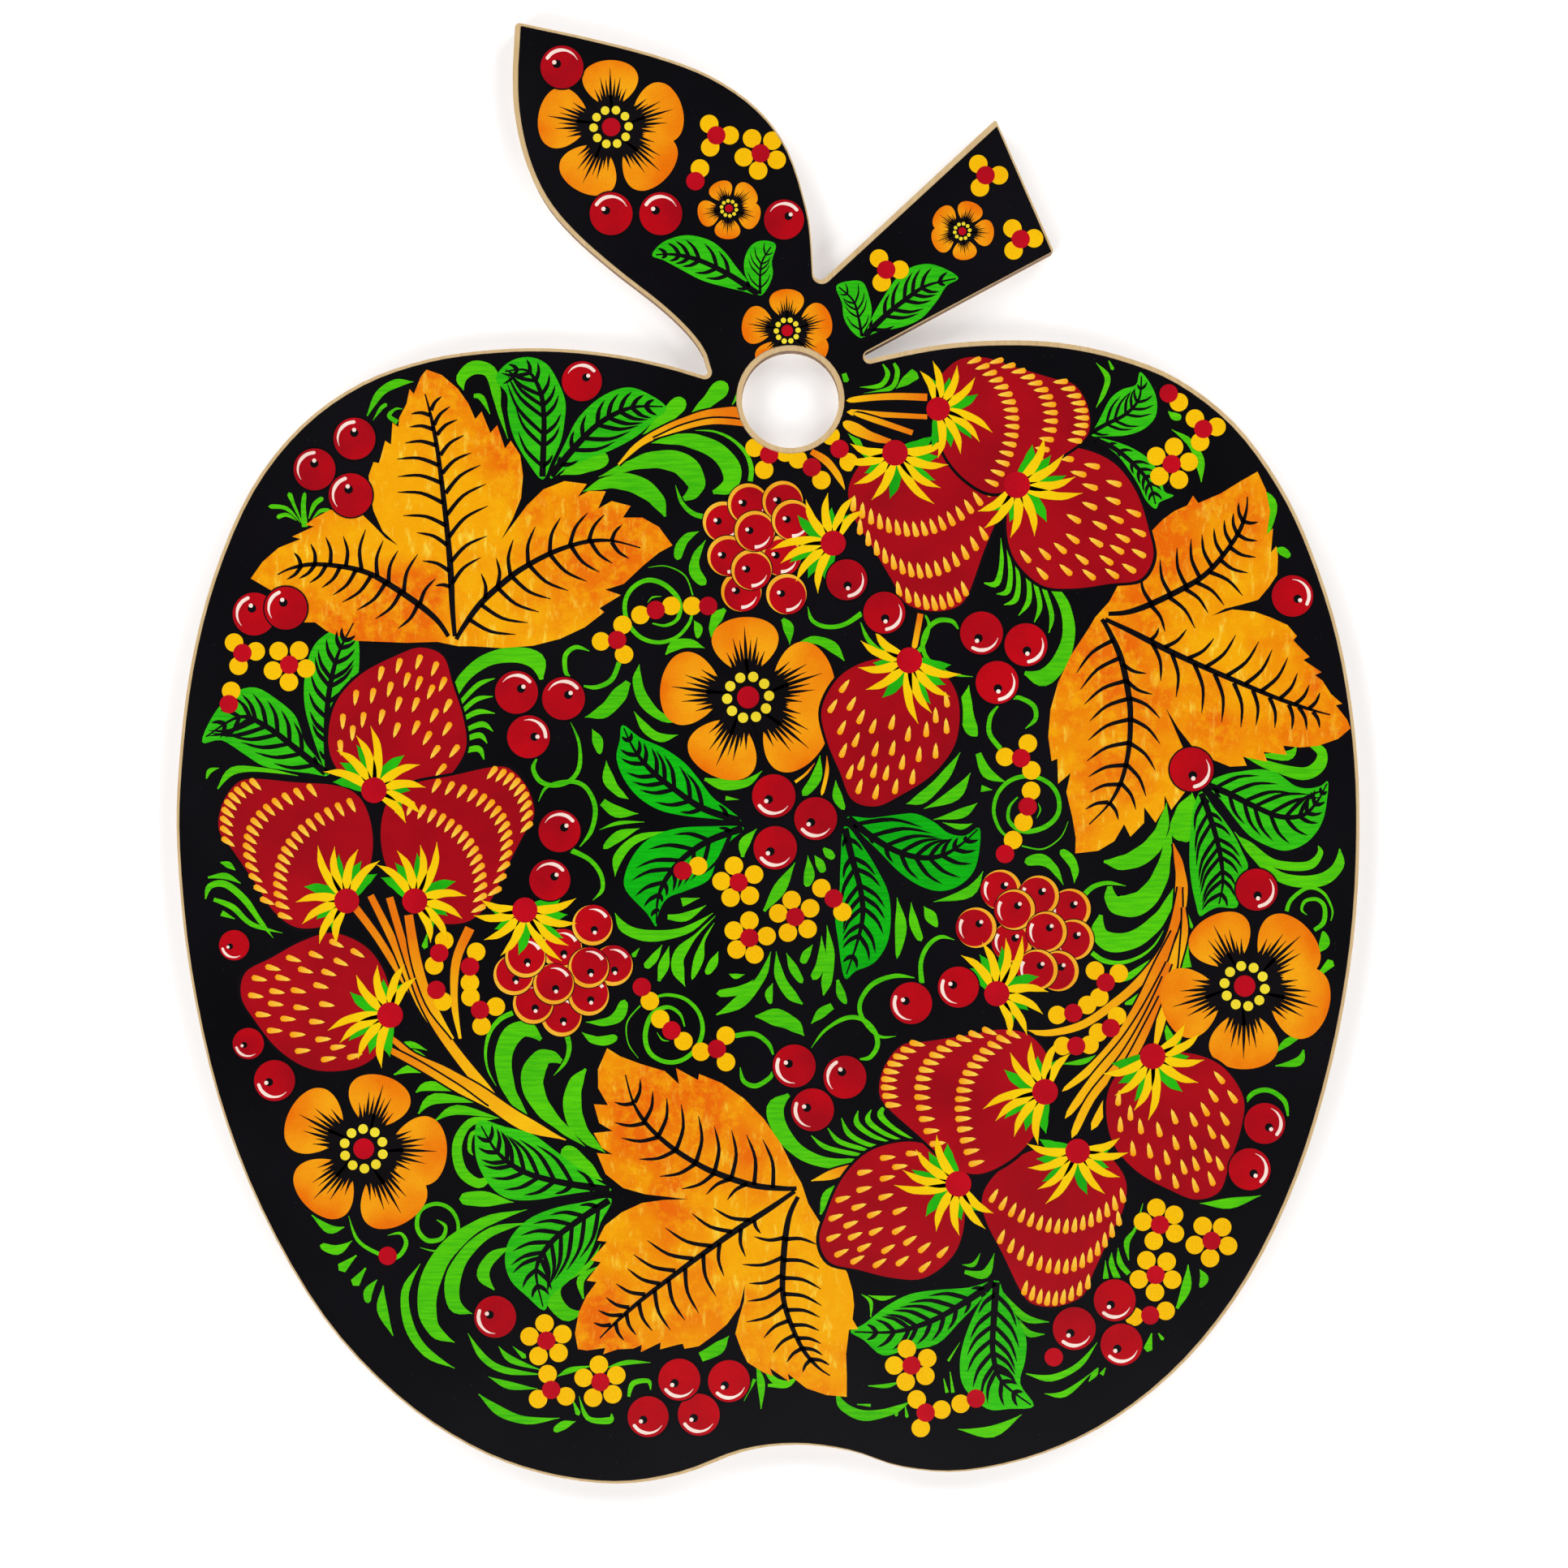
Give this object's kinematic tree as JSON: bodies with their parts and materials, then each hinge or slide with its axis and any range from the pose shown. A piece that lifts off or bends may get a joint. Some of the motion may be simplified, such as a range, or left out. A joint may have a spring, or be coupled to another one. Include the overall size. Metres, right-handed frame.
{
  "type": "painted cutting board",
  "caption": "Flat apple-shaped plywood board with a leaf, a stalk and a round hanging hole, its face painted in khokhloma style with berries, flowers and leaves.",
  "frame": {"origin": "middle of the board's back face, which is the surface it lies on", "axes": "+Z out of the painted face, +Y from the bottom of the apple towards the leaf tip, +X to the right seen from the front"},
  "size_m": [0.243, 0.3, 0.0061],
  "materials": {
    "back_veneer": "fine sanded birch, open grain, unvarnished",
    "back_glue": "laser-browned resin glue line",
    "lower_crossband": "birch end grain, browned by the laser cut",
    "lower_glue": "laser-browned resin glue line",
    "core_veneer": "birch, lightly browned at the laser cut edge",
    "upper_glue": "laser-browned resin glue line",
    "upper_crossband": "birch end grain, browned by the laser cut",
    "face_glue": "laser-browned resin glue line",
    "face_veneer": "fine sanded birch, pale gold, bare round the print",
    "ground_coat": "black khokhloma ground under clear gloss lacquer"
  },
  "bodies": {
    "root": {"back_veneer": "back_veneer", "back_glue": "back_glue", "lower_crossband": "lower_crossband", "lower_glue": "lower_glue", "core_veneer": "core_veneer", "upper_glue": "upper_glue", "upper_crossband": "upper_crossband", "face_glue": "face_glue", "face_veneer": "face_veneer", "ground_coat": "ground_coat"}
  },
  "joints": []
}
